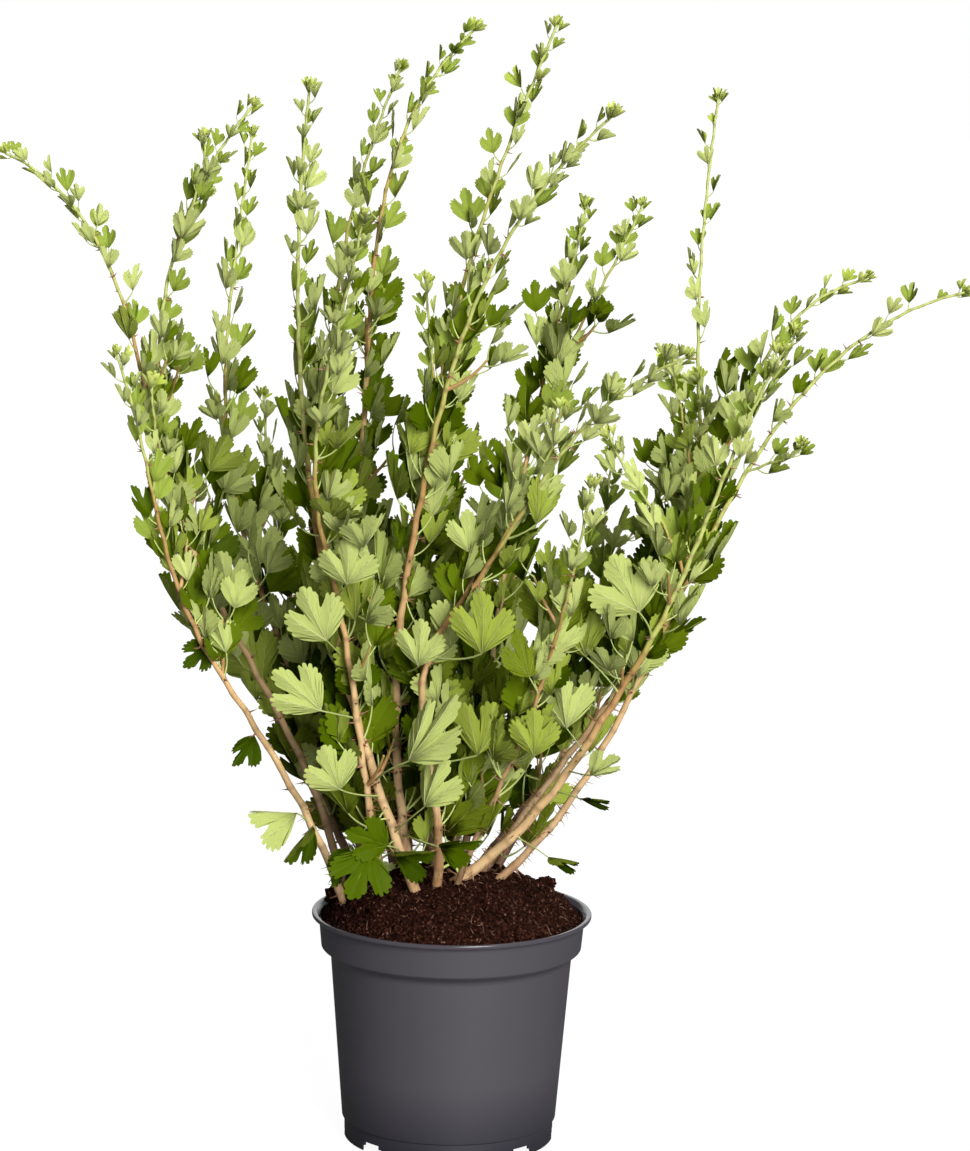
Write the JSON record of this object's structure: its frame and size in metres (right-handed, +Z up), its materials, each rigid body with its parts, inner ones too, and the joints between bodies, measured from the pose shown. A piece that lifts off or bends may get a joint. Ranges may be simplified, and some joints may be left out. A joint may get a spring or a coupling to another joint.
{
  "type": "potted gooseberry bush",
  "caption": "Bushy potted shrub of thorny canes that fan out from one clump, with lobed leaves that get smaller towards the tips, standing in a round nursery pot filled with peat.",
  "frame": {"origin": "on the pot's axis, at the centre of the flat pad under its floor, level with its foot", "axes": "+Z up, +X to the viewer's right, -Y towards the front"},
  "size_m": [0.7464, 0.507, 0.8738],
  "materials": {
    "pot_plastic": "dark grey moulded plastic, slightly satin",
    "peat": "moist, crumbly, dark red-brown peat",
    "bark": "thin pale tan bark, red-brown on older wood",
    "leaf": "matt green leaves with paler undersides"
  },
  "bodies": {
    "root": {"cane_back_left": "bark", "cane_back_mid": "bark", "cane_back_right": "bark", "cane_bent": "bark", "cane_curl": "bark", "cane_far_left": "bark", "cane_far_right": "bark", "cane_inner": "bark", "cane_left_front": "bark", "cane_left_high": "bark", "cane_left_thin": "bark", "cane_mid_back": "bark", "cane_mid_front": "bark", "cane_outer_left": "bark", "cane_right_front": "bark", "cane_right_spray": "bark", "cane_short_left": "bark", "cane_short_right": "bark", "cane_tall_left": "bark", "cane_tall_mid": "bark", "cane_tall_right": "bark", "cane_tallest": "bark", "foliage_back_left": "leaf", "foliage_back_mid": "leaf", "foliage_back_right": "leaf", "foliage_bent": "leaf", "foliage_curl": "leaf", "foliage_far_left": "leaf", "foliage_far_right": "leaf", "foliage_inner": "leaf", "foliage_left_front": "leaf", "foliage_left_high": "leaf", "foliage_left_thin": "leaf", "foliage_mid_back": "leaf", "foliage_mid_front": "leaf", "foliage_outer_left": "leaf", "foliage_right_front": "leaf", "foliage_right_spray": "leaf", "foliage_short_left": "leaf", "foliage_short_right": "leaf", "foliage_tall_left": "leaf", "foliage_tall_mid": "leaf", "foliage_tall_right": "leaf", "foliage_tallest": "leaf", "pot": "pot_plastic", "soil": "peat"}
  },
  "joints": []
}
